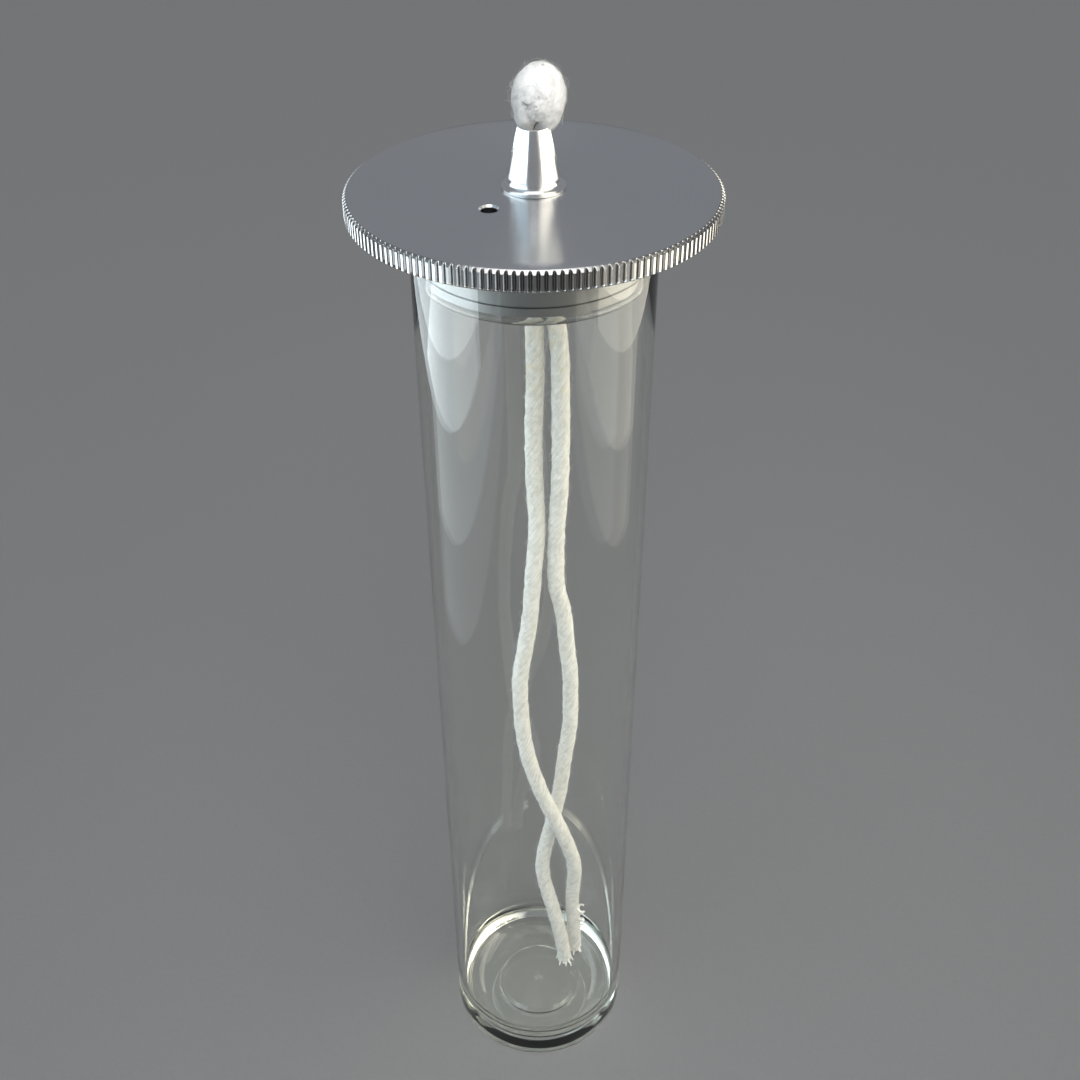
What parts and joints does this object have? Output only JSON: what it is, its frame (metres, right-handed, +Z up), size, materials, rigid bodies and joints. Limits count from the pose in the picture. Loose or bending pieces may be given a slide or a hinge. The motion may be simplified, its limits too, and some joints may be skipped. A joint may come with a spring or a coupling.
{
  "type": "alcohol burner",
  "caption": "Tall alcohol burner: a flat-bottomed glass tube with a knurled aluminium lid, a tapered nozzle and a doubled cotton wick.",
  "frame": {"origin": "centre of the tube's foot, on the surface that the burner stands on", "axes": "+Z up along the tube's axis; the vent hole is in the lid's -X, -Y quarter"},
  "size_m": [0.057, 0.057, 0.2219],
  "materials": {
    "glass": "clear, fire-polished",
    "turned_aluminium": "fine turned satin, with a straight-knurled rim",
    "polished_aluminium": "bright turned",
    "plated_steel": "zinc plated",
    "clear_silicone": "clear silicone rubber",
    "cotton": "loosely twisted off-white cotton rope"
  },
  "bodies": {
    "tube": {"glass_tube": "glass"},
    "seal": {"lid_seal_ring": "clear_silicone"},
    "lid": {"lid": "turned_aluminium", "wick_nozzle": "polished_aluminium", "nozzle_nut": "plated_steel"},
    "wick": {"wick_head": "cotton", "wick_strand_left": "cotton", "wick_strand_right": "cotton"}
  },
  "joints": [
    {"name": "lid_lift", "type": "slide", "parent": "tube", "child": "seal", "axis": [0, 0, 1], "range_m": [0, 0.2]},
    {"name": "lid_turn", "type": "hinge", "parent": "seal", "child": "lid", "pos_m": [0, 0, 0.2], "axis": [0, 0, 1], "continuous": true},
    {"name": "wick_raise", "type": "slide", "parent": "lid", "child": "wick", "axis": [0, 0, 1], "range_m": [0, 0.008]}
  ]
}
